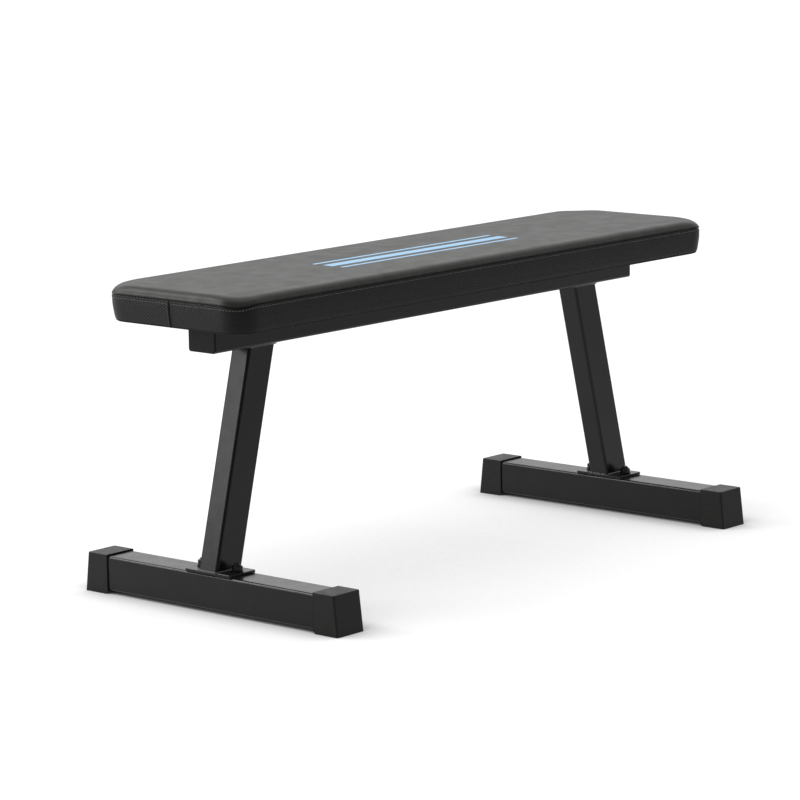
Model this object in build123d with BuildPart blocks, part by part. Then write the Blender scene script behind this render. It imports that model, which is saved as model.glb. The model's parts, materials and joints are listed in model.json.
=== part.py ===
from build123d import *
import os
from math import atan2, degrees

# Flat weight bench. Millimetres, +X along the bench, +Z up, origin on the floor under its centre.
# "front" is the -X end and "rear" the +X end; "left" is +Y and "right" is -Y.

# ---- driving dimensions ----
foot_spacing = 882.0          # between the centres of the two cross feet
foot_tube_side = 50.0
foot_tube_length = 466.0
foot_tube_wall = 1.8
tube_corner = 4.0             # outer corner radius of every frame tube
sole_height = 5.0             # rubber under the foot tubes

cap_wall = 2.2                # foot cap, over the top of the tube
cap_width_floor = 54.2
cap_width_top = 53.4
cap_sleeve = 38.0             # length of the cap along the tube, at its top
cap_end_wall = 3.0
cap_flare = 6.5               # how far the end face stands out at the floor
cap_corner = 2.5              # upright corners of the end face
cap_edge = 1.2                # edges round the top
cap_toe = 4.0                 # chamfer under the mouth
tread_width = 2.0
tread_pitch = 8.0
tread_depth = 1.0
tread_count = 4

leg_depth = 50.0              # across the leg, in the plane of its lean
leg_width = 35.0              # along Y
leg_wall = 1.8
leg_lean = 78.0               # the leg's foot stands this much outboard of its top
plate_size = (52.0, 88.0)
plate_thickness = 4.0
plate_corner = 3.0
plate_edge = 0.5
foot_bolt_y = 33.0

beam_width = 50.0
beam_height = 38.0
beam_wall = 1.8
beam_length = 928.0
beam_bottom = 366.5
plug_flange = 3.0
plug_depth = 18.0
plug_wall = 2.2
plug_edge = 1.2

bracket_size = (44.0, 170.0)
bracket_thickness = 2.5
bracket_corner = 6.0
bracket_x = 300.0
pad_bolt_y = 65.0

pad_length = 1056.0
pad_width = 266.0
pad_corner = 44.0             # plan radius of the pad's corners
pad_top = 460.0
seam_height = 448.0           # seam between the top panel and the side band
pad_top_round = 11.0
pad_low_round = 5.0
tuck_start = 436.0            # below this level the side band draws in
tuck_in = 7.0                 # by this much at its foot
vinyl = 1.2
vinyl_under = 1.0             # vinyl folded under the board
vinyl_margin = 38.0           # how far it is folded under
dust_cover_thickness = 0.5
dust_cover_inset = 20.0
board_thickness = 12.0
board_inset = 14.0

staple_crown = 10.0
staple_wire = 0.6
staple_leg = 5.0
staple_inset = 28.0
staple_pitch = 62.0

bolt_r = 4.0                  # M8
bolt_hole_r = 4.5
thread_gap = 0.05
washer_r = 8.5
washer_thickness = 1.6
hex_flats = 13.0
nut_height = 6.5
nut_collar_r = 5.9
nut_collar_height = 1.5
nut_collar_edge = 0.9
foot_bolt_length = 66.0
bolt_tip = 0.8
carriage_head_r = 9.5
carriage_head_height = 4.0
carriage_head_round = 3.2
neck_side = 8.2
neck_hole_side = 8.4
neck_height = 3.5
hex_head_height = 5.3
hex_head_edge = 0.6
tee_barrel_r = 5.0
tee_flange_r = 10.0
tee_flange_thickness = 1.5
tee_barrel_length = 10.0

# ---- levels ----
foot_top = sole_height + foot_tube_side
cap_top = foot_top + cap_wall
plate_top = foot_top + plate_thickness
beam_top = beam_bottom + beam_height
beam_mid = beam_bottom + beam_height / 2
bracket_top = beam_top + bracket_thickness
vinyl_low = bracket_top + dust_cover_thickness
board_low = vinyl_low + vinyl_under
board_top = board_low + board_thickness

leg_rise = beam_bottom - plate_top
lean_angle = degrees(atan2(leg_lean, leg_rise))

ENDS = {"front": -1, "rear": 1}
SIDES = {"left": 1, "right": -1}
foot_bolt_points = [(0, foot_bolt_y), (0, -foot_bolt_y)]
pad_bolt_points = [(x, y) for x in (-bracket_x, bracket_x) for y in (-pad_bolt_y, pad_bolt_y)]

os.makedirs("parts", exist_ok=True)


def keep(builder, name):
    """Labels a finished piece and writes its STEP file."""
    builder.part.label = name
    export_step(builder.part, f"parts/{name}.step")


def tube_profile(width, height, wall):
    """Hollow rectangular tube section with rounded corners, centred on the open sketch."""
    RectangleRounded(width, height, tube_corner)
    RectangleRounded(width - 2 * wall, height - 2 * wall, tube_corner - wall, mode=Mode.SUBTRACT)


def pad_outline(inset):
    """The pad's plan, drawn in by the inset."""
    RectangleRounded(pad_length - 2 * inset, pad_width - 2 * inset, pad_corner - inset)


def flat_edges(part, level):
    """The edges that lie wholly at one height."""
    return part.edges().filter_by_position(Axis.Z, level - 0.01, level + 0.01)


def staple_places():
    """Centre, and turn about Z, of every staple under the pad."""
    half_x = pad_length / 2 - staple_inset
    half_y = pad_width / 2 - staple_inset
    along_x = int((2 * half_x - 2 * pad_corner) / staple_pitch)
    along_y = int((2 * half_y - pad_corner) / staple_pitch)
    places = []
    for side in (-1, 1):
        for step in range(along_x + 1):
            places.append(((step - along_x / 2) * staple_pitch, side * half_y, 0))
        for step in range(along_y + 1):
            places.append((side * half_x, (step - along_y / 2) * staple_pitch, 90))
    return places


# ---- beam ----
with BuildPart() as main_beam:
    with BuildSketch(Plane.YZ.offset(-beam_length / 2)):
        with Locations((0, beam_mid)):
            tube_profile(beam_width, beam_height, beam_wall)
    extrude(amount=beam_length)
keep(main_beam, "main_beam")

for end, sign in ENDS.items():
    mouth = Plane(origin=(sign * beam_length / 2, 0, beam_mid), x_dir=(0, 1, 0), z_dir=(sign, 0, 0))
    with BuildPart() as beam_plug:
        with BuildSketch(mouth):
            RectangleRounded(beam_width, beam_height, tube_corner)
        extrude(amount=plug_flange)
        fillet(beam_plug.faces().sort_by(Axis.X)[-1 if sign > 0 else 0].edges(), plug_edge)
        with BuildSketch(mouth):
            RectangleRounded(beam_width - 2 * beam_wall, beam_height - 2 * beam_wall, tube_corner - beam_wall)
            Rectangle(
                beam_width - 2 * beam_wall - 2 * plug_wall,
                beam_height - 2 * beam_wall - 2 * plug_wall,
                mode=Mode.SUBTRACT,
            )
            Rectangle(plug_wall, beam_height - 2 * beam_wall - plug_wall)
        extrude(amount=-plug_depth)
    keep(beam_plug, f"beam_plug_{end}")

# ---- legs and their base plates ----
for end, sign in ENDS.items():
    foot_x = sign * foot_spacing / 2
    leg_axis = Plane(
        origin=(foot_x - sign * leg_lean / 2, 0, (plate_top + beam_bottom) / 2),
        x_dir=(leg_rise, 0, sign * leg_lean),
        z_dir=(-sign * leg_lean, 0, leg_rise),
    )
    with BuildPart() as leg_tube:
        with BuildSketch(leg_axis):
            tube_profile(leg_depth, leg_width, leg_wall)
        extrude(amount=leg_rise, both=True)
        split(bisect_by=Plane.XY.offset(plate_top), keep=Keep.TOP)
        split(bisect_by=Plane.XY.offset(beam_bottom), keep=Keep.BOTTOM)
    keep(leg_tube, f"leg_tube_{end}")

    with BuildPart() as base_plate:
        with BuildSketch(Plane.XY.offset(foot_top)):
            with Locations((foot_x, 0)):
                RectangleRounded(*plate_size, plate_corner)
                with Locations(*foot_bolt_points):
                    Circle(bolt_hole_r, mode=Mode.SUBTRACT)
        extrude(amount=plate_thickness)
        chamfer(flat_edges(base_plate, plate_top).filter_by(GeomType.LINE), plate_edge)
    keep(base_plate, f"leg_base_plate_{end}")

# ---- cross feet ----
for end, sign in ENDS.items():
    foot_x = sign * foot_spacing / 2
    with BuildPart() as foot_tube:
        with BuildSketch(Plane.XZ):
            with Locations((foot_x, sole_height + foot_tube_side / 2)):
                tube_profile(foot_tube_side, foot_tube_side, foot_tube_wall)
        extrude(amount=foot_tube_length / 2, both=True)
        with BuildSketch(Plane.XY.offset(foot_top)):
            with Locations((foot_x, 0)):
                with Locations(*foot_bolt_points):
                    Circle(bolt_hole_r)
        extrude(amount=-foot_tube_side / 2, mode=Mode.SUBTRACT)
        with BuildSketch(Plane.XY.offset(sole_height)):
            with Locations((foot_x, 0)):
                with Locations(*foot_bolt_points):
                    Rectangle(neck_hole_side, neck_hole_side)
        extrude(amount=foot_tube_side / 2, mode=Mode.SUBTRACT)
    keep(foot_tube, f"foot_tube_{end}")

    for side, way in SIDES.items():
        tube_end = foot_tube_length / 2
        outer_top = tube_end + cap_end_wall
        outer_floor = outer_top + cap_flare
        mouth_y = outer_top - cap_sleeve
        with BuildPart() as foot_cap:
            with BuildSketch(Plane.XY):
                with Locations((foot_x, way * (mouth_y + outer_floor) / 2)):
                    Rectangle(cap_width_floor, outer_floor - mouth_y)
            with BuildSketch(Plane.XY.offset(cap_top)):
                with Locations((foot_x, way * (mouth_y + outer_top) / 2)):
                    Rectangle(cap_width_top, outer_top - mouth_y)
            loft()
            outer_face = foot_cap.faces().sort_by(Axis.Y)[-1 if way > 0 else 0]
            fillet(outer_face.edges().filter_by(Axis.X, reverse=True), cap_corner)
            top_edges = flat_edges(foot_cap, cap_top)
            mouth_edge = top_edges.sort_by(Axis.Y)[0 if way > 0 else -1]
            fillet([edge for edge in top_edges if edge is not mouth_edge], cap_edge)
            toe_edge = flat_edges(foot_cap, 0).sort_by(Axis.Y)[0 if way > 0 else -1]
            chamfer(toe_edge, cap_toe)
            with BuildSketch(Plane.XZ.offset(-way * mouth_y)):
                with Locations((foot_x, sole_height + foot_tube_side / 2)):
                    RectangleRounded(foot_tube_side, foot_tube_side, tube_corner)
            extrude(amount=-way * (tube_end - mouth_y), mode=Mode.SUBTRACT)
            with BuildSketch(Plane.XY):
                with Locations((foot_x, way * (mouth_y + outer_floor) / 2)):
                    with GridLocations(0, tread_pitch, 1, tread_count):
                        Rectangle(cap_width_floor, tread_width)
            extrude(amount=tread_depth, mode=Mode.SUBTRACT)
        keep(foot_cap, f"foot_cap_{end}_{side}")

# ---- fasteners of the feet ----
for end, sign in ENDS.items():
    foot_x = sign * foot_spacing / 2
    bolt_places = [(foot_x + x, y) for x, y in foot_bolt_points]

    with BuildPart() as foot_bolts:
        with BuildSketch(Plane.XY.offset(sole_height)):
            with Locations(*bolt_places):
                Circle(carriage_head_r)
        extrude(amount=-carriage_head_height)
        fillet(flat_edges(foot_bolts, sole_height - carriage_head_height), carriage_head_round)
        with BuildSketch(Plane.XY.offset(sole_height)):
            with Locations(*bolt_places):
                Rectangle(neck_side, neck_side)
        extrude(amount=neck_height)
        with BuildSketch(Plane.XY.offset(sole_height)):
            with Locations(*bolt_places):
                Circle(bolt_r)
        extrude(amount=foot_bolt_length)
        chamfer(flat_edges(foot_bolts, sole_height + foot_bolt_length), bolt_tip)
    keep(foot_bolts, f"foot_bolts_{end}")

    with BuildPart() as foot_washers:
        with BuildSketch(Plane.XY.offset(plate_top)):
            with Locations(*bolt_places):
                Circle(washer_r)
                Circle(bolt_r + thread_gap, mode=Mode.SUBTRACT)
        extrude(amount=washer_thickness)
    keep(foot_washers, f"foot_washers_{end}")

    with BuildPart() as foot_nuts:
        nut_low = plate_top + washer_thickness
        with BuildSketch(Plane.XY.offset(nut_low)):
            with Locations(*bolt_places):
                RegularPolygon(hex_flats / 2, 6, major_radius=False)
        extrude(amount=nut_height)
        with BuildSketch(Plane.XY.offset(nut_low + nut_height)):
            with Locations(*bolt_places):
                Circle(nut_collar_r)
        extrude(amount=nut_collar_height)
        fillet(flat_edges(foot_nuts, nut_low + nut_height + nut_collar_height), nut_collar_edge)
        with BuildSketch(Plane.XY.offset(nut_low)):
            with Locations(*bolt_places):
                Circle(bolt_r + thread_gap)
        extrude(amount=nut_height + nut_collar_height, mode=Mode.SUBTRACT)
    keep(foot_nuts, f"foot_nuts_{end}")

# ---- brackets that carry the pad ----
for end, sign in ENDS.items():
    with BuildPart() as pad_bracket:
        with BuildSketch(Plane.XY.offset(beam_top)):
            with Locations((sign * bracket_x, 0)):
                RectangleRounded(*bracket_size, bracket_corner)
                with Locations((0, pad_bolt_y), (0, -pad_bolt_y)):
                    Circle(bolt_hole_r, mode=Mode.SUBTRACT)
        extrude(amount=bracket_thickness)
    keep(pad_bracket, f"pad_bracket_{end}")

# ---- fasteners of the pad ----
with BuildPart() as pad_washers:
    with BuildSketch(Plane.XY.offset(beam_top)):
        with Locations(*pad_bolt_points):
            Circle(washer_r)
            Circle(bolt_r + thread_gap, mode=Mode.SUBTRACT)
    extrude(amount=-washer_thickness)
keep(pad_washers, "pad_washers")

with BuildPart() as pad_bolts:
    head_top = beam_top - washer_thickness
    with BuildSketch(Plane.XY.offset(head_top)):
        with Locations(*pad_bolt_points):
            RegularPolygon(hex_flats / 2, 6, major_radius=False)
    extrude(amount=-hex_head_height)
    chamfer(flat_edges(pad_bolts, head_top - hex_head_height), hex_head_edge)
    with BuildSketch(Plane.XY.offset(head_top)):
        with Locations(*pad_bolt_points):
            Circle(bolt_r)
    extrude(amount=board_top - head_top)
keep(pad_bolts, "pad_bolts")

with BuildPart() as pad_tee_nuts:
    with BuildSketch(Plane.XY.offset(board_top)):
        with Locations(*pad_bolt_points):
            Circle(tee_flange_r)
    extrude(amount=tee_flange_thickness)
    with BuildSketch(Plane.XY.offset(board_top)):
        with Locations(*pad_bolt_points):
            Circle(tee_barrel_r)
    extrude(amount=-tee_barrel_length)
    with BuildSketch(Plane.XY.offset(board_top - tee_barrel_length)):
        with Locations(*pad_bolt_points):
            Circle(bolt_r + thread_gap)
    extrude(amount=tee_barrel_length + tee_flange_thickness, mode=Mode.SUBTRACT)
keep(pad_tee_nuts, "pad_tee_nuts")

# ---- staples: a crown under the dust cover and two legs up into the board ----
with BuildPart() as pad_staples:
    for x, y, turn in staple_places():
        low = Plane(origin=(x, y, bracket_top), z_dir=(0, 0, 1)).rotated((0, 0, turn))
        with BuildSketch(low):
            Rectangle(staple_crown, staple_wire)
        extrude(amount=-staple_wire)
        with BuildSketch(low):
            with GridLocations(staple_crown - staple_wire, 0, 2, 1):
                Rectangle(staple_wire, staple_wire)
        extrude(amount=staple_leg)
keep(pad_staples, "pad_staples")

# ---- pad ----
with BuildPart() as pad_board:
    with BuildSketch(Plane.XY.offset(board_low)):
        pad_outline(board_inset)
        with Locations(*pad_bolt_points):
            Circle(tee_barrel_r + thread_gap, mode=Mode.SUBTRACT)
    extrude(amount=board_thickness)
    add(pad_staples.part, mode=Mode.SUBTRACT)
keep(pad_board, "pad_board")

with BuildPart() as pad_foam:
    with BuildSketch(Plane.XY.offset(tuck_start)):
        pad_outline(vinyl)
    extrude(amount=pad_top - vinyl - tuck_start)
    with BuildSketch(Plane.XY.offset(tuck_start)):
        pad_outline(vinyl)
    with BuildSketch(Plane.XY.offset(board_low)):
        pad_outline(vinyl + tuck_in)
    loft(ruled=True)
    fillet(flat_edges(pad_foam, pad_top - vinyl), pad_top_round - vinyl)
    fillet(flat_edges(pad_foam, board_low), pad_low_round - vinyl)
    with BuildSketch(Plane.XY.offset(board_low)):
        pad_outline(board_inset)
    extrude(amount=board_thickness, mode=Mode.SUBTRACT)
    with BuildSketch(Plane.XY.offset(board_top)):
        with Locations(*pad_bolt_points):
            Circle(tee_flange_r)
    extrude(amount=tee_flange_thickness, mode=Mode.SUBTRACT)
keep(pad_foam, "pad_foam")

with BuildPart() as pad_top_panel:
    with BuildSketch(Plane.XY.offset(seam_height)):
        pad_outline(0)
    extrude(amount=pad_top - seam_height)
    fillet(flat_edges(pad_top_panel, pad_top), pad_top_round)
    add(pad_foam.part, mode=Mode.SUBTRACT)
keep(pad_top_panel, "pad_top_panel")

with BuildPart() as pad_side_band:
    with BuildSketch(Plane.XY.offset(tuck_start)):
        pad_outline(0)
    extrude(amount=seam_height - tuck_start)
    with BuildSketch(Plane.XY.offset(tuck_start)):
        pad_outline(0)
    with BuildSketch(Plane.XY.offset(vinyl_low)):
        pad_outline(tuck_in)
    loft(ruled=True)
    fillet(flat_edges(pad_side_band, vinyl_low), pad_low_round)
    with BuildSketch(Plane.XY.offset(vinyl_low)):
        pad_outline(vinyl_margin)
    extrude(amount=vinyl_under, mode=Mode.SUBTRACT)
    add(pad_foam.part, mode=Mode.SUBTRACT)
    with BuildSketch(Plane.XY.offset(board_low)):
        pad_outline(board_inset)
    extrude(amount=board_top + tee_flange_thickness - board_low, mode=Mode.SUBTRACT)
    add(pad_staples.part, mode=Mode.SUBTRACT)
keep(pad_side_band, "pad_side_band")

with BuildPart() as pad_dust_cover:
    with BuildSketch(Plane.XY.offset(bracket_top)):
        pad_outline(dust_cover_inset)
        with Locations(*pad_bolt_points):
            Circle(bolt_hole_r, mode=Mode.SUBTRACT)
    extrude(amount=dust_cover_thickness)
    add(pad_staples.part, mode=Mode.SUBTRACT)
keep(pad_dust_cover, "pad_dust_cover")

print(f"lean of the legs {lean_angle:.1f} degrees")
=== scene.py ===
import json
from math import cos, pi, radians, sin, tanh

import bmesh
import bpy
from mathutils import Matrix, Vector, noise
from mathutils.bvhtree import BVHTree


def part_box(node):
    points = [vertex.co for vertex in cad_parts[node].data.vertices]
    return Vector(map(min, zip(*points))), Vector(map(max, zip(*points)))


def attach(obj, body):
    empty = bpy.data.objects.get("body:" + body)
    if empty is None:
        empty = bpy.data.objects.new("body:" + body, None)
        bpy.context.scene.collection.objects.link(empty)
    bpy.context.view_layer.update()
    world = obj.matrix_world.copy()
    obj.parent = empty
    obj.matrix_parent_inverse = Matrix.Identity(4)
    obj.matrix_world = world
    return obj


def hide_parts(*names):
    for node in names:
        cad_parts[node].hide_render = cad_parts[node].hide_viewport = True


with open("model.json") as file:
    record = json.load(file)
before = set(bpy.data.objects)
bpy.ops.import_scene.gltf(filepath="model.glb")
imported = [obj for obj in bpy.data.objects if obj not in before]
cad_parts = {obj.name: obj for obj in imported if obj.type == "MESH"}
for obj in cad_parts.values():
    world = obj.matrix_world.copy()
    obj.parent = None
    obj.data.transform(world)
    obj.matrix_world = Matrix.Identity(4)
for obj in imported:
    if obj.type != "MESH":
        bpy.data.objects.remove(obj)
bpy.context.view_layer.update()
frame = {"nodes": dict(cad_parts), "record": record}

# Looks for a flat weight bench. Metres, +X along the bench, +Z up, floor at z = 0.

MM = 0.001

# ---- places read from the frame ----
PANEL_LOW, PANEL_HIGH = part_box("pad_top_panel")
BAND_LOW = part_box("pad_side_band")[0]
DUST_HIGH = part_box("pad_dust_cover")[1]
BEAM_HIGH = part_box("main_beam")[1]
CAP_MOUTH = min(abs(corner.y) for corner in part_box("foot_cap_front_left"))
HALF_LENGTH = PANEL_HIGH.x
HALF_WIDTH = PANEL_HIGH.y
PAD_TOP = PANEL_HIGH.z
PAD_LOW = BAND_LOW.z
SEAM_Z = PANEL_LOW.z

# ---- pad shape: metres, unless a comment says otherwise ----
PLAN_CORNER = 0.038          # plan radius of the pad's corners
TOP_ROUND_WIDE = 0.010       # the top's rounded edge, across
TOP_ROUND_DEEP = 0.68 * (PAD_TOP - SEAM_Z)   # and down, with a short wall left above the seam
CORNER_ROUND = 0.28          # share more of it across the corners; much more would fold the grid
CORNER_FALL = 0.0078         # how far the top sinks toward a corner
FALL_REACH = 0.060           # and from how far in
END_DIP = 0.0022             # the seam runs lower round the ends
CORNER_DIP = 0.0024
TUCK = 0.0048                # how far the band draws in at its foot
CORNER_TUCK = 0.2            # share more of it at the corners
TUCK_POWER = 2.3
LOW_ROUND = 0.0028
STEP = 0.006                 # grid spacing of the cloth
CORNER_EASE = 16             # grid steps from a corner over which the grid is relaxed
EASE_ROUNDS = 60             # and how many times
UNDER_LAP = 0.012            # the blank's last row lies this far in under the pad
SHRINK = 0.0026              # the blank is this much small all round, and swells when stuffed
PRESSURE = 4.0
MOST_SWELL = 0.003
SWELL_SMOOTHING = 10
SIDEWAYS = 0.4               # share of each point's slide along the surface that is kept
LEAST_AND_MOST = (0.85, 1.3)  # share of the shrink that each point swells back
SIM_FRAMES = 20
CLOTH = {"quality": 6, "mass": 0.4, "tension_stiffness": 30, "compression_stiffness": 30,
         "bending_stiffness": 6, "use_pressure": True, "uniform_pressure_force": PRESSURE,
         "vertex_group_mass": "held", "pin_stiffness": 1.0}

STITCH_DROP = 0.0042         # row of stitches under the seam
STITCH_PITCH = 0.0046
STITCH_LENGTH = 0.0030
THREAD_RADIUS = 0.00045

# ---- seams, in millimetres from the seam ----
SEAM_CUTS = (-6.4, -5.4, -4.5, -3.6, -2.7, -1.8, -1.2, -0.6, 0, 0.6, 1.2, 1.8, 2.7, 3.8, 5)
END_SEAM_CUTS = (-4, -2.8, -1.6, -0.8, 0, 0.8, 1.6, 2.4, 3.4, 4.6)
# each bump is (height, place, half width); a groove has a height below nothing
SEAM_BUMPS = ((-1.3, 0.0, 1.6), (0.5, 2.4, 2.2), (0.25, -2.4, 2.2))
END_SEAM_BUMPS = ((-1.5, 0.0, 1.4), (0.8, 2.2, 2.4), (0.2, -2.2, 2.0))
STITCH_DENT = 0.35
STITCH_DENT_WIDTH = 1.8
PUCKER = 0.35
PUCKER_SCALE = 70
PUCKER_REACH = 12

# ---- surface marks ----
PRINT_BLUE = (0.22, 0.41, 0.60)
# each bar is (centre, half its length, half its width)
PRINT_BARS = (((-0.025, -0.0125), 0.196, 0.0095),
              ((-0.025, 0.0145), 0.196, 0.0035),
              ((-0.025, -0.0395), 0.196, 0.0035))
EMBOSS_ALONG = 0.0060        # the band's diamonds, along it and up it
EMBOSS_UP = 0.0040

# ---- welds ----
WELD_RADIUS = {"top": 0.0026, "foot": 0.0020}
WELD_STEP = 0.0011           # between the rings of a bead
WELD_SIDES = 10

# ---- floor: its own glow, with shadows painted into it near the bench ----
FLOOR_HALF = 30.0
FLOOR_TONE = 0.24
FLOOR_GLOW = 0.83
FLOOR_GLOW_FAR = 0.85
GLOW_RANGE = (0.9, 6.0)      # distances at which the two apply
# painted shadows: ambient occlusion darkens the floor's glow, first as a contact shadow, then as the soft
# shadow under the bench
SHADE_REACH = ((0.05, 0.9), (0.6, 1.1))   # contact shadow, then the soft one: distance and power
SHADE_SAMPLES = 12
SHADE_LEAN = (-0.30, -0.15)  # sets the shade behind each foot
# painted reflection: the bench mirrors the floor's glow dimmer in front and brighter behind, which the
# camera does not see
GLOW_REFLECTED = (0.72, 1.45)  # share of the glow that the bench mirrors, front and back
REFLECTED_RANGE = (-0.8, 1.6)  # places along Y of that front and back

# ---- studio light ----
# name, place, aim, size and power in watts
LIGHTS = (("overhead", (0.0, 0.3, 3.0), (0, 0, 0), (3.0, 3.0), 16),
          ("left_back", (-1.48, 1.85, 1.83), (-0.5, 0, 0.45), (1.0, 1.0), 42),
          ("left_low", (-2.16, 1.56, 0.78), (-0.4, 0, 0.25), (1.1, 0.8), 13))
WORLD_BRIGHT_SIDE = (0.70, 0.66, 0.26)
WORLD_DARK = 0.12
# background strength by height
WORLD_CLIMB = (("From Min", 0.09), ("From Max", 0.27), ("To Min", 0.30), ("To Max", 1.75))

# ---- camera ----
CAMERA_AZIMUTH = -48.85
CAMERA_ELEVATION = 9.84
CAMERA_ROLL = -0.915
CAMERA_LENS = 160.9
CAMERA_AT = Vector((-3.9355, -3.3910, 1.1365))


# ---------------------------------------------------------------- helpers
def mesh_object(name, verts, faces, smooth=True):
    """New object from points and faces, riding nothing yet."""
    mesh = bpy.data.meshes.new(name)
    mesh.from_pydata([tuple(v) for v in verts], [], faces)
    mesh.validate()
    for polygon in mesh.polygons:
        polygon.use_smooth = smooth
    piece = bpy.data.objects.new(name, mesh)
    bpy.context.scene.collection.objects.link(piece)
    return piece


def apply_modifiers(piece):
    """Bakes the modifier stack into the piece's own mesh."""
    graph = bpy.context.evaluated_depsgraph_get()
    mesh = bpy.data.meshes.new_from_object(piece.evaluated_get(graph))
    piece.modifiers.clear()
    piece.data = mesh
    return piece


def plan_points(step):
    """Even points round the pad's plan with their outward directions, as four runs.

    Each run goes from the middle of one rounded corner to the middle of the next."""
    half_x = HALF_LENGTH - PLAN_CORNER
    half_y = HALF_WIDTH - PLAN_CORNER
    arc = PLAN_CORNER * pi / 4
    runs = []
    for k, (cx, cy, straight) in enumerate([(half_x, half_y, 2 * half_x), (-half_x, half_y, 2 * half_y),
                                            (-half_x, -half_y, 2 * half_x), (half_x, -half_y, 2 * half_y)]):
        count = round((straight + 2 * arc) / step)
        turn = pi / 2 * (k + 1)
        out = Vector((cos(turn), sin(turn), 0))
        way = Vector((-sin(turn), cos(turn), 0))
        run = []
        for i in range(count):
            along = (straight + 2 * arc) * i / count
            if along < arc:
                angle = turn - (arc - along) / PLAN_CORNER
                centre = Vector((cx, cy, 0))
            elif along > arc + straight:
                angle = turn + (along - arc - straight) / PLAN_CORNER
                centre = Vector((cx, cy, 0)) + way * straight
            else:
                run.append((Vector((cx, cy, 0)) + way * (along - arc) + out * PLAN_CORNER, out))
                continue
            normal = Vector((cos(angle), sin(angle), 0))
            run.append((centre + normal * PLAN_CORNER, normal))
        runs.append(run)
    return runs


def smooth_cap(length, most):
    """Lets small moves through and holds large ones to the most."""
    return most * tanh(length / most)


# ---------------------------------------------------------------- node helpers
class Nodes:
    """Short way to write a node material."""

    def __init__(self, name):
        self.material = bpy.data.materials.new(name)
        self.material.use_nodes = True
        self.tree = self.material.node_tree
        self.shader = self.tree.nodes["Principled BSDF"]

    def add(self, kind, **inputs):
        node = self.tree.nodes.new(kind)
        for key, value in inputs.items():
            self.feed(node, key, value)
        return node

    def feed(self, node, key, value):
        socket = node.inputs[int(key[1:])] if key[0] == "i" and key[1:].isdigit() else None
        if socket is None:
            socket = node.inputs[key.replace("_", " ")]
        if isinstance(value, bpy.types.NodeSocket):
            self.tree.links.new(value, socket)
        else:
            socket.default_value = value

    def math(self, operation, a, b=0.0, c=0.0):
        node = self.add("ShaderNodeMath", i0=a, i1=b, i2=c)
        node.operation = operation
        return node.outputs[0]

    def ramp(self, value, stops):
        node = self.add("ShaderNodeValToRGB", i0=value)
        while len(node.color_ramp.elements) < len(stops):
            node.color_ramp.elements.new(0.5)
        for element, (at, colour) in zip(node.color_ramp.elements, stops):
            element.position = at
            element.color = grey(colour) if not isinstance(colour, tuple) else (*colour, 1)
        return node.outputs[0]

    def place(self):
        return self.add("ShaderNodeTexCoord").outputs["Object"]

    def stretched(self, scale, turn=(0, 0, 0)):
        node = self.add("ShaderNodeMapping", i0=self.place())
        node.inputs["Scale"].default_value = scale
        node.inputs["Rotation"].default_value = turn
        return node.outputs[0]

    def noise(self, scale, detail=3.0, roughness=0.5, vector=None):
        node = self.add("ShaderNodeTexNoise", Vector=vector or self.place(), Scale=scale,
                        Detail=detail, Roughness=roughness)
        return node.outputs[0]

    def dark_from(self, axis, start, length, most):
        """Value that falls to nothing over a length, from a distance along one axis outwards."""
        apart = self.math("ABSOLUTE", self.add("ShaderNodeSeparateXYZ", i0=self.place()).outputs[axis])
        return self.ranged(apart, (start, start + length), (most, 0.0))

    def ranged(self, value, source, target):
        """Maps the source range onto the target range, held at both ends."""
        node = self.add("ShaderNodeMapRange", Value=value, From_Min=source[0], From_Max=source[1],
                        To_Min=target[0], To_Max=target[1])
        return node.outputs[0]

    def bump(self, height, distance, strength=1.0, normal=None):
        node = self.add("ShaderNodeBump", Height=height, Distance=distance, Strength=strength)
        if normal is not None:
            self.feed(node, "Normal", normal)
        return node.outputs[0]

    def finish(self, **sockets):
        for key, value in sockets.items():
            self.feed(self.shader, key, value)
        return self.material


def grey(value):
    """Opaque grey of one value."""
    return (value, value, value, 1)


# ---------------------------------------------------------------- materials
def powder_coat():
    """Satin black powder coat: fine orange peel, faint tone change, slightly rubbed."""
    n = Nodes("powder_coat")
    peel = n.noise(1400, 2)
    cloud = n.noise(22, 3)
    colour = n.ramp(cloud, [(0.3, (0.0038, 0.0038, 0.0046)), (0.75, (0.0062, 0.0062, 0.0074))])
    rough = n.ramp(n.noise(60, 3), [(0.3, 0.22), (0.75, 0.29)])
    return n.finish(Specular_IOR_Level=0.19, Base_Color=colour, Roughness=rough,
                    Normal=n.bump(peel, 0.00004, 0.15))


def moulded_rubber():
    """Foot caps: matt black with a fine moulded texture and scuffs."""
    n = Nodes("moulded_rubber")
    grain = n.noise(2600, 2, 0.6)
    scuff = n.noise(70, 5, 0.65, n.stretched((1, 1, 3)))
    colour = n.ramp(scuff, [(0.35, (0.0055, 0.0053, 0.0050)), (0.8, (0.0105, 0.0100, 0.0094))])
    rough = n.math("ADD", n.ramp(scuff, [(0.3, 0.40), (0.75, 0.52)]),
                   n.dark_from(1, CAP_MOUTH, 0.0012, 0.5))
    return n.finish(Specular_IOR_Level=0.17, Base_Color=colour, Roughness=rough,
                    Normal=n.bump(grain, 0.00009, 0.6))


def moulded_plastic():
    """Beam end plugs."""
    n = Nodes("moulded_plastic")
    grain = n.noise(2000, 2, 0.6)
    colour = n.ramp(n.noise(40, 3), [(0.3, (0.007, 0.007, 0.0075)), (0.75, (0.012, 0.012, 0.0125))])
    rough = n.ramp(n.noise(90, 3), [(0.3, 0.42), (0.75, 0.52)])
    rough = n.math("ADD", rough, n.dark_from(0, BEAM_HIGH.x, 0.0012, 0.4))
    return n.finish(Specular_IOR_Level=0.09, Base_Color=colour, Roughness=rough,
                    Normal=n.bump(grain, 0.00006, 0.5))


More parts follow.
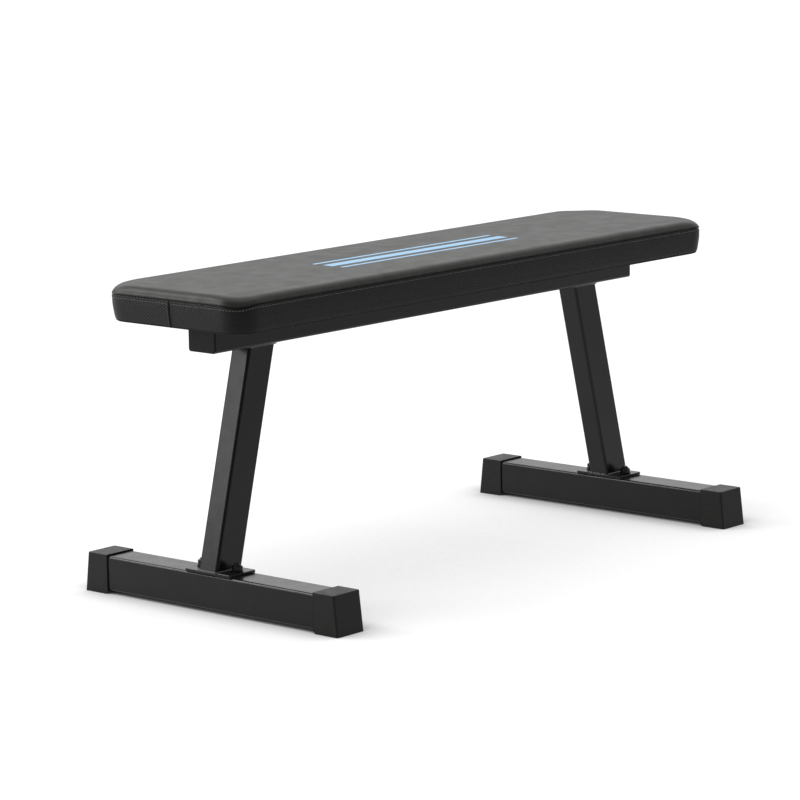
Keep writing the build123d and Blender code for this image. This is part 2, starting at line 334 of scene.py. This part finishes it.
def dark_zinc():
    """Black zinc fasteners: dark metal with lighter rubbed patches."""
    n = Nodes("dark_zinc")
    patch = n.noise(260, 4, 0.6)
    colour = n.ramp(patch, [(0.4, (0.008, 0.008, 0.008)), (0.72, (0.035, 0.032, 0.029)),
                            (0.8, (0.22, 0.19, 0.15))])
    rough = n.ramp(patch, [(0.3, 0.28), (0.8, 0.45)])
    return n.finish(Metallic=0.85, Base_Color=colour, Roughness=rough,
                    Normal=n.bump(n.noise(900, 2), 0.00005, 0.5))


def bright_zinc():
    """Staples and tee nuts."""
    n = Nodes("bright_zinc")
    patch = n.noise(300, 3)
    colour = n.ramp(patch, [(0.3, (0.42, 0.42, 0.43)), (0.8, (0.62, 0.62, 0.6))])
    rough = n.ramp(patch, [(0.3, 0.25), (0.8, 0.45)])
    return n.finish(Metallic=0.95, Base_Color=colour, Roughness=rough,
                    Normal=n.bump(patch, 0.00004, 0.5))


def plywood():
    """Raw board with long grain."""
    n = Nodes("plywood")
    grain = n.noise(18, 5, 0.6, n.stretched((1, 14, 40)))
    colour = n.ramp(grain, [(0.3, (0.33, 0.21, 0.11)), (0.7, (0.56, 0.41, 0.25))])
    return n.finish(Base_Color=colour, Roughness=n.ramp(grain, [(0.3, 0.6), (0.7, 0.75)]),
                    Normal=n.bump(grain, 0.0003, 0.5))


def dust_cloth():
    """Non-woven sheet: matted fibres with a grid of small welded points."""
    n = Nodes("dust_cloth")
    fibres = n.noise(700, 4, 0.7, n.stretched((1, 3, 1)))
    points = n.add("ShaderNodeTexVoronoi", Vector=n.place(), Scale=520.0, Randomness=0.15).outputs[0]
    height = n.math("ADD", fibres, n.math("MULTIPLY", points, 0.8))
    colour = n.ramp(fibres, [(0.3, (0.008, 0.008, 0.008)), (0.75, (0.022, 0.022, 0.022))])
    return n.finish(Specular_IOR_Level=0.2, Base_Color=colour,
                    Roughness=n.ramp(fibres, [(0.3, 0.75), (0.7, 0.9)]),
                    Normal=n.bump(height, 0.0003, 0.8))


def vinyl_grain(n):
    """Leather-like grain: small rounded cells over a finer one."""
    cells = n.add("ShaderNodeTexVoronoi", Vector=n.place(), Scale=820.0)
    cells.feature = "SMOOTH_F1"
    return n.math("ADD", cells.outputs[0], n.math("MULTIPLY", n.noise(1500, 2), 0.4))


def smooth_vinyl():
    """Top panel, with the plain printed bars near its middle."""
    n = Nodes("smooth_vinyl")
    tone = n.noise(9, 3)
    black = n.ramp(tone, [(0.3, (0.0070, 0.0073, 0.0056)), (0.75, (0.0105, 0.0109, 0.0086))])
    axes = n.add("ShaderNodeSeparateXYZ", i0=n.place())
    ink = None
    for centre, half_long, half_wide in PRINT_BARS:
        off_x = n.math("ABSOLUTE", n.math("SUBTRACT", axes.outputs[0], centre[0]))
        off_y = n.math("ABSOLUTE", n.math("SUBTRACT", axes.outputs[1], centre[1]))
        inside = n.math("MULTIPLY", n.math("LESS_THAN", off_x, half_long),
                        n.math("LESS_THAN", off_y, half_wide))
        ink = inside if ink is None else n.math("MAXIMUM", ink, inside)
    mix = n.add("ShaderNodeMix")
    mix.data_type = "RGBA"
    n.tree.links.new(ink, mix.inputs[0])
    n.tree.links.new(black, mix.inputs[6])
    mix.inputs[7].default_value = (*PRINT_BLUE, 1)
    grain = vinyl_grain(n)
    creases = n.noise(26, 4, 0.55, n.stretched((0.5, 1, 1)))
    soft = n.bump(creases, 0.0006, 0.06)
    rough = n.ramp(n.noise(40, 4), [(0.3, 0.42), (0.75, 0.50)])
    return n.finish(Specular_IOR_Level=0.20, Base_Color=mix.outputs[2], Roughness=rough,
                    Normal=n.bump(grain, 0.00012, 0.5, soft))


def embossed_vinyl():
    """Side band: a fine diamond weave pressed into black vinyl, with shade painted dark into the weave's
    hollows.
    """
    n = Nodes("embossed_vinyl")
    axes = n.add("ShaderNodeSeparateXYZ", i0=n.place())
    along = n.math("SUBTRACT", n.math("ABSOLUTE", axes.outputs[0]), n.math("ABSOLUTE", axes.outputs[1]))
    waves = [n.math("COSINE", n.math("MULTIPLY", place, 2 * pi / pitch))
             for place, pitch in ((along, EMBOSS_ALONG), (axes.outputs[2], EMBOSS_UP))]
    diamonds = n.math("MULTIPLY", *waves)
    fine = n.noise(1600, 2)
    height = n.math("ADD", diamonds, n.math("MULTIPLY", fine, 0.3))
    # painted shade: the colour is darker in the hollows of the diamonds
    colour = n.ramp(diamonds, [(0.3, (0.0036, 0.0036, 0.0040)), (0.9, (0.0092, 0.0092, 0.0098))])
    soft = n.bump(n.noise(24, 4, 0.55, n.stretched((1, 1, 0.5))), 0.0008, 0.2)
    rough = n.math("ADD", n.ramp(diamonds, [(0.2, 0.52), (0.8, 0.40)]),
                   n.dark_from(2, PAD_LOW, 0.004, 0.5))
    return n.finish(Specular_IOR_Level=0.15, Base_Color=colour, Roughness=rough,
                    Normal=n.bump(height, 0.00030, 0.85, soft))


def sewing_thread():
    """Twisted grey thread."""
    n = Nodes("sewing_thread")
    twist = n.add("ShaderNodeTexWave", Vector=n.place(), Scale=900.0).outputs[1]
    colour = n.ramp(twist, [(0.2, (0.075, 0.075, 0.072)), (0.8, (0.17, 0.17, 0.165))])
    return n.finish(Base_Color=colour, Roughness=n.ramp(twist, [(0.2, 0.5), (0.8, 0.7)]),
                    Normal=n.bump(twist, 0.0001, 0.6))


def weld_metal():
    """Weld bead under the same powder coat, with its ripples."""
    n = Nodes("weld_metal")
    ripple = n.noise(420, 3)
    colour = n.ramp(ripple, [(0.3, (0.010, 0.010, 0.011)), (0.8, (0.018, 0.018, 0.019))])
    return n.finish(Specular_IOR_Level=0.5, Base_Color=colour,
                    Roughness=n.ramp(ripple, [(0.3, 0.28), (0.8, 0.36)]),
                    Normal=n.bump(ripple, 0.0002, 0.6))


def studio_floor():
    """White floor lit by its own glow, with painted contact and soft shadows where ambient occlusion
    darkens the glow. Only the bench's reflections see the glow change along Y, a painted reflection.
    """
    n = Nodes("studio_floor")
    tone = n.noise(0.6, 2)
    colour = n.ramp(tone, [(0.3, FLOOR_TONE), (0.8, FLOOR_TONE * 1.02)])
    reach = n.add("ShaderNodeVectorMath", i0=n.place())
    reach.operation = "LENGTH"
    glow = n.ranged(reach.outputs["Value"], GLOW_RANGE, (FLOOR_GLOW, FLOOR_GLOW_FAR))
    toward_light = n.add("ShaderNodeCombineXYZ", i0=SHADE_LEAN[0], i1=SHADE_LEAN[1], i2=1.0)
    painted_shadows = []
    # each ambient occlusion darkens the glow: a painted contact shadow, then a painted soft shadow
    for far, power in SHADE_REACH:
        ao_shadow = n.add("ShaderNodeAmbientOcclusion", Distance=far, Normal=toward_light.outputs[0])
        ao_shadow.samples = SHADE_SAMPLES
        painted_shadows.append(n.math("POWER", ao_shadow.outputs["AO"], power))
    lit = n.math("MULTIPLY", glow, painted_shadows[0])
    y = n.add("ShaderNodeSeparateXYZ", i0=n.place()).outputs[1]
    # painted reflection: the glow that the bench mirrors runs dimmer in front and brighter behind
    back = n.ranged(y, REFLECTED_RANGE, GLOW_REFLECTED)
    seen = n.add("ShaderNodeLightPath").outputs["Is Camera Ray"]
    # camera rays see the soft painted shadow; the bench's reflections see the glow painted brighter toward
    # the back instead
    share = n.add("ShaderNodeMix", i0=seen, i2=back, i3=painted_shadows[1])
    lit = n.math("MULTIPLY", lit, share.outputs[0])
    return n.finish(Base_Color=colour, Roughness=0.9, Specular_IOR_Level=0.0,
                    Emission_Color=(1, 1, 1, 1), Emission_Strength=lit)


# ---------------------------------------------------------------- pad
def side_rows():
    """Inset and height of each row of the blank, from the top's edge to its underside."""
    rows = []
    for i in range(5):
        turn = pi / 2 * i / 4
        rows.append((TOP_ROUND_WIDE * (1 - sin(turn)), PAD_TOP - TOP_ROUND_DEEP * (1 - cos(turn))))
    rows.append((0.0, SEAM_Z))
    full = SEAM_Z - 0.008
    low = PAD_LOW + LOW_ROUND
    for i in range(1, 9):
        z = SEAM_Z + (low - SEAM_Z) * i / 8
        rows.append((TUCK * max(0.0, (full - z) / (full - PAD_LOW)) ** TUCK_POWER, z))
    foot = rows[-1][0]
    for i in range(1, 4):
        turn = pi / 2 * i / 3
        rows.append((foot + 1.2 * LOW_ROUND * (1 - cos(turn)), low - LOW_ROUND * sin(turn)))
    rows.append((foot + UNDER_LAP, PAD_LOW))
    return rows


def stuffed_form():
    """Closed blank of the pad, gridded evenly: a sheet over the top, rows down the side, a sheet below."""
    runs = plan_points(STEP)
    ring = [entry for run in runs for entry in run]
    around_count = len(ring)
    verts, faces = [], []
    rows = side_rows()
    for row, (inset, z) in enumerate(rows):
        held_out = SHRINK * min(1.0, max(0.0, (z - PAD_LOW - 0.006) / 0.006))
        drop = SHRINK if z > SEAM_Z + 0.001 else 0.0
        tuck = max(0.0, (SEAM_Z - z) / (SEAM_Z - PAD_LOW)) ** TUCK_POWER * TUCK * CORNER_TUCK
        for point, out in ring:
            bend = (2 * out.x * out.y) ** 2
            wide = inset * (1 + CORNER_ROUND * bend) if z > SEAM_Z else inset
            verts.append(point - out * (wide + held_out + tuck * bend) + Vector((0, 0, z - drop)))
    for row in range(len(rows) - 1):
        for i in range(around_count):
            j = (i + 1) % around_count
            a, b = row * around_count, (row + 1) * around_count
            faces.append((a + j, a + i, b + i, b + j))
    sheet(verts, faces, runs, 0, False)
    sheet(verts, faces, runs, (len(rows) - 1) * around_count, True)
    return mesh_object("pad_form", verts, faces)


def sheet(verts, faces, runs, first, flip):
    """Fills one ring with a grid, blended from its four runs."""
    long_count, short_count = len(runs[0]), len(runs[1])
    total = 2 * (long_count + short_count)
    edge = lambda k: first + k % total
    index = {}
    for i in range(long_count + 1):
        index[i, 0] = edge(i)
        index[i, short_count] = edge(2 * long_count + short_count - i)
    for j in range(short_count + 1):
        index[long_count, j] = edge(long_count + j)
        index[0, j] = edge(total - j)
    corner = [verts[index[i, j]]
              for i, j in ((0, 0), (long_count, 0), (0, short_count), (long_count, short_count))]
    for i in range(1, long_count):
        u = i / long_count
        for j in range(1, short_count):
            v = j / short_count
            point = ((1 - v) * verts[index[i, 0]] + v * verts[index[i, short_count]]
                     + (1 - u) * verts[index[0, j]] + u * verts[index[long_count, j]]
                     - (1 - u) * (1 - v) * corner[0] - u * (1 - v) * corner[1]
                     - (1 - u) * v * corner[2] - u * v * corner[3])
            index[i, j] = len(verts)
            verts.append(point)
    near_corner = [(i, j) for i in range(1, long_count) for j in range(1, short_count)
                   if min(i, long_count - i) + min(j, short_count - j) < CORNER_EASE]
    for _ in range(EASE_ROUNDS):
        for i, j in near_corner:
            beside = (verts[index[i + a, j + b]] for a, b in ((1, 0), (-1, 0), (0, 1), (0, -1)))
            verts[index[i, j]] = sum(beside, Vector()) / 4
    for i in range(long_count):
        for j in range(short_count):
            quad = (index[i, j], index[i + 1, j], index[i + 1, j + 1], index[i, j + 1])
            faces.append(quad[::-1] if flip else quad)


def stuff(piece):
    """Short cloth run under pressure, held at the seam and underneath, with the swelling capped."""
    rest = [v.co.copy() for v in piece.data.vertices]
    held = piece.vertex_groups.new(name="held")
    low = [v.index for v in piece.data.vertices if v.co.z < PAD_LOW + 0.005]
    seam = [v.index for v in piece.data.vertices if abs(v.co.z - SEAM_Z) < 0.001]
    held.add(low, 1.0, "REPLACE")
    held.add(seam, 0.1, "REPLACE")
    cloth = piece.modifiers.new("cloth", "CLOTH")
    for key, value in CLOTH.items():
        setattr(cloth.settings, key, value)
    cloth.settings.effector_weights.gravity = 0
    cloth.collision_settings.use_collision = False
    cloth.point_cache.frame_start = 1
    cloth.point_cache.frame_end = SIM_FRAMES
    scene = bpy.context.scene
    for number in range(1, SIM_FRAMES + 1):
        scene.frame_set(number)
    graph = bpy.context.evaluated_depsgraph_get()
    moved = [v.co.copy() for v in piece.evaluated_get(graph).data.vertices]
    piece.modifiers.clear()
    scene.frame_set(1)
    steps = []
    for start, end in zip(rest, moved):
        step = end - start
        steps.append(step.normalized() * smooth_cap(step.length, MOST_SWELL) if step.length > 0 else step)
    normals = [v.normal.copy() for v in piece.data.vertices]
    for vertex, start, normal, step in zip(piece.data.vertices, rest, normals,
                                           evened(piece.data, steps, SWELL_SMOOTHING)):
        share = min(1.0, max(0.0, (start.z - PAD_LOW - 0.004) / 0.008))
        out = step.dot(normal)
        swell = min(LEAST_AND_MOST[1], max(LEAST_AND_MOST[0], out / SHRINK)) * SHRINK
        vertex.co = start + share * (normal * swell + SIDEWAYS * (step - normal * out))
    return piece


def evened(mesh, steps, rounds):
    """Averages each move with its neighbours', so that only broad swelling is left."""
    near = [[] for _ in steps]
    for edge in mesh.edges:
        a, b = edge.vertices
        near[a].append(b)
        near[b].append(a)
    for _ in range(rounds):
        steps = [0.5 * step + 0.5 * sum((steps[k] for k in near[i]), Vector()) / len(near[i])
                 for i, step in enumerate(steps)]
    return steps


def refine(piece):
    """One subdivision, then close edge loops where the seams run."""
    subdivide = piece.modifiers.new("subdivide", "SUBSURF")
    subdivide.levels = 1
    subdivide.render_levels = 1
    apply_modifiers(piece)
    bm = bmesh.new()
    bm.from_mesh(piece.data)
    for step in SEAM_CUTS:
        cut_near(bm, Vector((0, 0, SEAM_Z + step * MM)), Vector((0, 0, 1)),
                 lambda c: abs(c.z - SEAM_Z) < 0.009)
    for step in END_SEAM_CUTS:
        cut_near(bm, Vector((0, step * MM, 0)), Vector((0, 1, 0)),
                 lambda c: c.x < -HALF_LENGTH + 0.03 and abs(c.y) < 0.009 and c.z < SEAM_Z + 0.002)
    for face in bm.faces:
        face.material_index = 0 if face.calc_center_median().z > SEAM_Z else 1
    bm.normal_update()
    bm.to_mesh(piece.data)
    bm.free()
    return piece


def cut_near(bm, place, normal, wanted):
    """Cuts a plane through the faces that are wanted."""
    near = [f for f in bm.faces if wanted(f.calc_center_median())]
    edges = {e for f in near for e in f.edges}
    verts = {v for f in near for v in f.verts}
    bmesh.ops.bisect_plane(bm, geom=near + list(edges) + list(verts),
                           plane_co=place, plane_no=normal, dist=1e-6)


def around(x, y):
    """Outward direction in plan at a point near the pad's edge."""
    cx = max(-HALF_LENGTH + PLAN_CORNER, min(HALF_LENGTH - PLAN_CORNER, x))
    cy = max(-HALF_WIDTH + PLAN_CORNER, min(HALF_WIDTH - PLAN_CORNER, y))
    out = Vector((x - cx, y - cy, 0))
    return out.normalized() if out.length > 1e-6 else Vector((0, 0, 0))


def seam_dip(out):
    """How far the seam runs below its height on the long sides."""
    return END_DIP * out.x ** 2 + CORNER_DIP * (2 * out.x * out.y) ** 2


def corner_fall(x, y):
    """How far the top sinks at a point: nothing inside, more toward a corner."""
    over_x = max(0.0, 1 - (HALF_LENGTH - abs(x)) / FALL_REACH)
    over_y = max(0.0, 1 - (HALF_WIDTH - abs(y)) / FALL_REACH)
    return CORNER_FALL * (over_x * over_y) ** 1.5


def bell(value, width):
    """One at nothing, falling smoothly to nothing at the width."""
    return max(0.0, 1 - (value / width) ** 2) ** 2


def bumps(rows, at):
    """Height of a row of bumps at one place."""
    return sum(height * bell(at - place, width) for height, place, width in rows)


def tailor(piece):
    """Presses the seams into the stuffed form and gives the vinyl its small puckers."""
    for vertex in piece.data.vertices:
        co = vertex.co
        rise = (co.z - SEAM_Z) / MM
        out = around(co.x, co.y)
        shift = Vector((0, 0, 0))
        if abs(rise) < 14:
            stitch_row = -STITCH_DENT * bell(rise + STITCH_DROP / MM, STITCH_DENT_WIDTH)
            pucker = noise.noise(Vector((co.x * PUCKER_SCALE, co.y * PUCKER_SCALE, 3.0)))
            pucker *= PUCKER * bell(rise, PUCKER_REACH)
            shift += out * (bumps(SEAM_BUMPS, rise) + stitch_row + pucker) * MM
        if co.x < -HALF_LENGTH + 0.03 and abs(co.y) < 0.012 and co.z < SEAM_Z:
            across = co.y / MM
            fade = min(1.0, (SEAM_Z - co.z) / 0.002)
            shift.x -= bumps(END_SEAM_BUMPS, across) * fade * MM
        shift.z -= seam_dip(out) * bell(rise, 12 if rise > 0 else 26)
        shift.z -= corner_fall(co.x, co.y) * min(1.0, max(0.0, rise / 10)) ** 1.5
        vertex.co = co + shift
    return piece


def part_of(source, name, keep):
    """Copy of the source with only the faces that keep() accepts."""
    bm = bmesh.new()
    bm.from_mesh(source.data)
    gone = [f for f in bm.faces if not keep(f.material_index, f.calc_center_median())]
    bmesh.ops.delete(bm, geom=gone, context="FACES")
    for face in bm.faces:
        face.material_index = 0
    mesh = bpy.data.meshes.new(name)
    bm.to_mesh(mesh)
    bm.free()
    for polygon in mesh.polygons:
        polygon.use_smooth = True
    piece = bpy.data.objects.new(name, mesh)
    bpy.context.scene.collection.objects.link(piece)
    return piece


def stitches(surface):
    """One short thread loop after another, lying on the band under the seam."""
    tree = BVHTree.FromObject(surface, bpy.context.evaluated_depsgraph_get())
    verts, faces = [], []
    for run in plan_points(STITCH_PITCH):
        for point, out in run:
            height = Vector((0, 0, SEAM_Z - STITCH_DROP - seam_dip(out)))
            hit = tree.ray_cast(point + height + out * 0.02, -out)[0]
            if hit is not None:
                thread_loop(verts, faces, hit, Vector((-out.y, out.x, 0)), out)
    return mesh_object("pad_stitches", verts, faces)


def thread_loop(verts, faces, centre, along, out, sides=6, rows=6):
    """Capsule of thread, bowed out of the surface."""
    first = len(verts)
    for row in range(rows + 1):
        share = row / rows * 2 - 1
        radius = THREAD_RADIUS * (1 - abs(share) ** 4 * 0.85)
        middle = centre + along * share * STITCH_LENGTH / 2 + out * THREAD_RADIUS * (0.9 - 1.5 * share ** 2)
        for side in range(sides):
            turn = 2 * pi * side / sides
            verts.append(middle + out * cos(turn) * radius + Vector((0, 0, 1)) * sin(turn) * radius)
    for row in range(rows):
        for side in range(sides):
            a = first + row * sides + side
            b = first + row * sides + (side + 1) % sides
            faces.append((a, b, b + sides, a + sides))
    faces.append(tuple(first + side for side in reversed(range(sides))))
    faces.append(tuple(first + rows * sides + side for side in range(sides)))


# ---------------------------------------------------------------- welds
def weld_bead(name, corners, radius):
    """Rippled bead along a closed path of corners, half sunk in the joint."""
    path = []
    count = len(corners)
    for k in range(count):
        start, finish = corners[k], corners[(k + 1) % count]
        steps = max(2, round((finish - start).length / WELD_STEP))
        path += [start.lerp(finish, i / steps) for i in range(steps)]
    centre = sum(corners, Vector()) / count
    verts, faces = [], []
    sides = WELD_SIDES
    for i, point in enumerate(path):
        nxt = path[(i + 1) % len(path)]
        along = (nxt - point).normalized()
        up = Vector((0, 0, 1))
        side_way = along.cross(up).normalized()
        if side_way.dot(point - centre) < 0:
            side_way = -side_way
        ripple = 1 + 0.16 * sin(i * 1.35) + 0.18 * noise.noise(point * 260)
        for side in range(sides):
            turn = 2 * pi * side / sides
            verts.append(point + (side_way * cos(turn) + up * sin(turn)) * radius * ripple)
    for i in range(len(path)):
        j = (i + 1) % len(path)
        for side in range(sides):
            k = (side + 1) % sides
            faces.append((i * sides + side, i * sides + k, j * sides + k, j * sides + side))
    return mesh_object(name, verts, faces)


def section_corners(node, z):
    """The four corners of a leg where it meets a level face."""
    points = [v.co for v in frame["nodes"][node].data.vertices if abs(v.co.z - z) < 0.0006]
    low_x = min(p.x for p in points)
    high_x = max(p.x for p in points)
    low_y = min(p.y for p in points)
    high_y = max(p.y for p in points)
    return [Vector((low_x, low_y, z)), Vector((high_x, low_y, z)),
            Vector((high_x, high_y, z)), Vector((low_x, high_y, z))]


# ---------------------------------------------------------------- build
def paint_frame(materials):
    """Gives every CAD node the material of its slot."""
    slots = {row["node"]: row["material_slot"] for row in frame["record"]["subparts"]}
    for name, node in frame["nodes"].items():
        finish = materials[slots[name]]
        node.data.materials.clear()
        node.data.materials.append(finish)


def dress_pad(materials):
    """Sews the pad's vinyl from the stuffed form and adds its stitches."""
    form = tailor(refine(stuff(stuffed_form())))
    inner_x, inner_y = DUST_HIGH.x - 0.02, DUST_HIGH.y - 0.02
    panel = part_of(form, "pad_panel_vinyl", lambda side, c: side == 0)
    band = part_of(form, "pad_band_vinyl",
                   lambda side, c: side == 1 and (abs(c.x) > inner_x or abs(c.y) > inner_y))
    threads = stitches(form)
    bpy.data.objects.remove(form)
    panel.data.materials.append(materials["vinyl_top"])
    band.data.materials.append(materials["vinyl_side"])
    threads.data.materials.append(materials["thread"])
    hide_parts("pad_top_panel", "pad_foam")
    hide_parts("pad_side_band")
    return [panel, band, threads]


def weld_frame(materials):
    """Beads round each leg, where it meets the beam and its base plate."""
    beads = []
    for end in ("front", "rear"):
        leg = f"leg_tube_{end}"
        low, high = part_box(leg)
        for place, z in (("top", high.z), ("foot", low.z)):
            corners = section_corners(leg, z)
            bead = weld_bead(f"weld_{end}_{place}", corners, WELD_RADIUS[place])
            bead.data.materials.append(materials["weld"])
            beads.append(bead)
    return beads


def make_camera():
    """The photo's viewpoint, from its solved angles and place."""
    data = bpy.data.cameras.new("camera")
    data.lens = CAMERA_LENS
    data.sensor_width = 36
    data.clip_end = 200
    camera = bpy.data.objects.new("camera", data)
    bpy.context.scene.collection.objects.link(camera)
    turn, rise = radians(CAMERA_AZIMUTH), radians(CAMERA_ELEVATION)
    back = Vector((sin(turn) * cos(rise), -cos(turn) * cos(rise), sin(rise)))
    right = Vector((0, 0, 1)).cross(back).normalized()
    up = back.cross(right)
    roll = radians(CAMERA_ROLL)
    right, up = right * cos(roll) + up * sin(roll), up * cos(roll) - right * sin(roll)
    axes = Matrix((right, up, back)).transposed().to_4x4()
    camera.matrix_world = Matrix.Translation(CAMERA_AT) @ axes
    bpy.context.scene.camera = camera


def area_light(name, place, aim, size, power):
    """Rectangular softbox that the camera doesn't see."""
    data = bpy.data.lights.new(name, "AREA")
    data.shape = "RECTANGLE"
    data.size, data.size_y = size
    data.energy = power
    light = bpy.data.objects.new(name, data)
    light.location = place
    light.rotation_mode = "QUATERNION"
    light.rotation_quaternion = (Vector(aim) - Vector(place)).to_track_quat("-Z", "Y")
    light.visible_camera = False
    bpy.context.scene.collection.objects.link(light)


def studio():
    """Floor, softboxes and a background that is white to the camera and graded to the bench."""
    far = FLOOR_HALF
    floor = mesh_object("floor", [(-far, -far, 0), (far, -far, 0), (far, far, 0), (-far, far, 0)],
                        [(0, 1, 2, 3)], smooth=False)
    floor.data.materials.append(studio_floor())
    for light in LIGHTS:
        area_light(*light)
    world = bpy.data.worlds.new("studio")
    bpy.context.scene.world = world
    world.use_nodes = True
    tree = world.node_tree
    tree.nodes.clear()
    new = tree.nodes.new
    link = tree.links.new
    coord = new("ShaderNodeTexCoord")
    facing = new("ShaderNodeVectorMath")
    facing.operation = "DOT_PRODUCT"
    facing.inputs[1].default_value = WORLD_BRIGHT_SIDE
    link(coord.outputs["Generated"], facing.inputs[0])
    spread = new("ShaderNodeMapRange")
    spread.inputs["From Min"].default_value = -1
    spread.inputs["From Max"].default_value = 1
    link(facing.outputs["Value"], spread.inputs["Value"])
    ramp = new("ShaderNodeValToRGB")
    ramp.color_ramp.elements[0].position = 0.1
    ramp.color_ramp.elements[0].color = grey(WORLD_DARK)
    ramp.color_ramp.elements[1].position = 0.95
    ramp.color_ramp.elements[1].color = grey(1.0)
    link(spread.outputs[0], ramp.inputs[0])
    axes = new("ShaderNodeSeparateXYZ")
    link(coord.outputs["Generated"], axes.inputs[0])
    climb = new("ShaderNodeMapRange")
    for key, value in WORLD_CLIMB:
        climb.inputs[key].default_value = value
    link(axes.outputs["Z"], climb.inputs["Value"])
    soft = new("ShaderNodeBackground")
    link(climb.outputs[0], soft.inputs[1])
    link(ramp.outputs[0], soft.inputs[0])
    seen = new("ShaderNodeBackground")
    seen.inputs[0].default_value = grey(1.0)
    path = new("ShaderNodeLightPath")
    mix = new("ShaderNodeMixShader")
    out = new("ShaderNodeOutputWorld")
    link(path.outputs["Is Camera Ray"], mix.inputs[0])
    link(soft.outputs[0], mix.inputs[1])
    link(seen.outputs[0], mix.inputs[2])
    link(mix.outputs[0], out.inputs[0])
    bpy.context.scene.view_settings.view_transform = "Standard"


MATERIALS = {
    "frame_paint": powder_coat(), "cap_rubber": moulded_rubber(), "plug_plastic": moulded_plastic(),
    "fastener_dark": dark_zinc(), "zinc_steel": bright_zinc(), "plywood": plywood(),
    "foam": dust_cloth(),        # never seen: the pad's vinyl stands in for the foam
    "vinyl_top": smooth_vinyl(), "vinyl_side": embossed_vinyl(), "dust_cloth": dust_cloth(),
    "thread": sewing_thread(), "weld": weld_metal(),
}

make_camera()
studio()
paint_frame(MATERIALS)
for piece in dress_pad(MATERIALS) + weld_frame(MATERIALS):
    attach(piece, "root")
